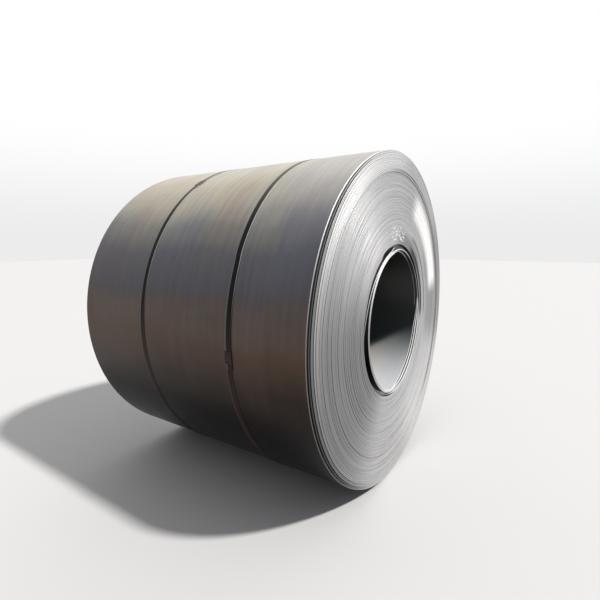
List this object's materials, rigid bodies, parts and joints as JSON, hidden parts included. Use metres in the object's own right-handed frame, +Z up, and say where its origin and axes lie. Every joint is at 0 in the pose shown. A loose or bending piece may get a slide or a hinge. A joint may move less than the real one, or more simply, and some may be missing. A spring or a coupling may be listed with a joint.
{
  "type": "steel coil",
  "caption": "Hot-rolled steel strip wound into a large coil, lying on its side with the bore level, held by steel straps and crimped seals.",
  "frame": {"origin": "on the floor, under the middle of the lying coil", "axes": "+Z up, +Y along the bore from the near end (the one with the proud inner turns) to the far end, +X to the right when the near end is looked at square on"},
  "size_m": [1.8046, 1.533, 1.8023],
  "materials": {
    "mill_scale_steel": "dark mill scale on the strip's faces, bright worn metal on its edges",
    "strap_steel": "blue-black lacquered strapping, satin",
    "seal_steel": "dark sheet steel, creased and rubbed bright on its edges"
  },
  "bodies": {
    "root": {"coil": "mill_scale_steel", "rear_strap": "strap_steel", "front_strap": "strap_steel", "rear_seal": "seal_steel", "front_seal": "seal_steel"}
  },
  "joints": []
}
